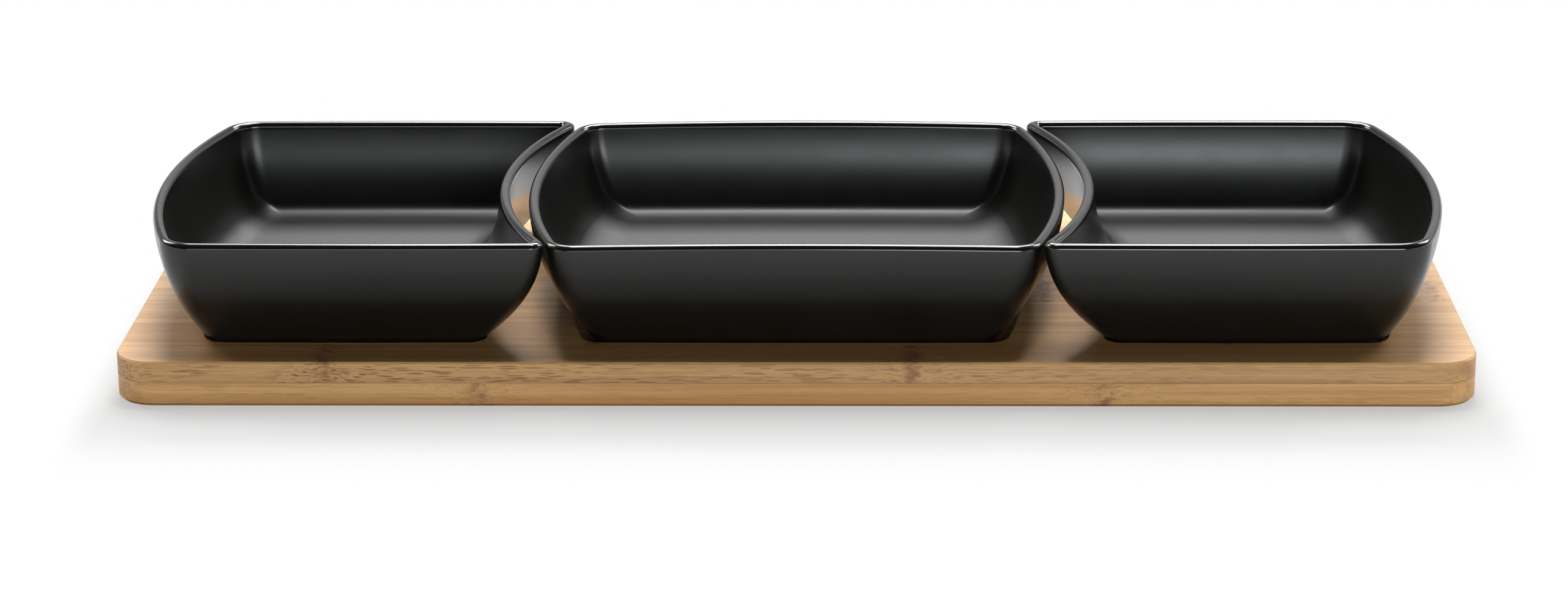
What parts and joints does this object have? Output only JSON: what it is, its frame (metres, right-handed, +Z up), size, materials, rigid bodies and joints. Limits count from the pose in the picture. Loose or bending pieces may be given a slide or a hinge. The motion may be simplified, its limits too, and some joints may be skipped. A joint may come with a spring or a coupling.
{
  "type": "chip and dip server",
  "caption": "Rectangular bamboo serving board with routed pockets that hold nesting black ceramic bowls, which lift out for chips and dips.",
  "frame": {"origin": "middle of the board's underside, on the table", "axes": "+X along the board to the right, +Y from front to back, +Z up"},
  "size_m": [0.4, 0.15, 0.0474],
  "materials": {
    "bamboo": "oiled, satin",
    "black_glaze": "matte black glaze"
  },
  "bodies": {
    "board": {"lower_strip_1": "bamboo", "lower_strip_2": "bamboo", "lower_strip_3": "bamboo", "lower_strip_4": "bamboo", "lower_strip_5": "bamboo", "lower_strip_6": "bamboo", "lower_strip_7": "bamboo", "lower_strip_8": "bamboo", "top_strip_1": "bamboo", "top_strip_2": "bamboo", "top_strip_3": "bamboo", "top_strip_4": "bamboo", "top_strip_5": "bamboo", "top_strip_6": "bamboo", "top_strip_7": "bamboo", "top_strip_8": "bamboo"},
    "left_bowl": {"left_bowl": "black_glaze"},
    "centre_bowl": {"centre_bowl": "black_glaze"},
    "right_bowl": {"right_bowl": "black_glaze"}
  },
  "joints": [
    {"name": "left_bowl_lift", "type": "slide", "parent": "board", "child": "left_bowl", "axis": [0, 0, 1], "range_m": [0, 0.06]},
    {"name": "centre_bowl_lift", "type": "slide", "parent": "board", "child": "centre_bowl", "axis": [0, 0, 1], "range_m": [0, 0.06]},
    {"name": "right_bowl_lift", "type": "slide", "parent": "board", "child": "right_bowl", "axis": [0, 0, 1], "range_m": [0, 0.06]}
  ]
}
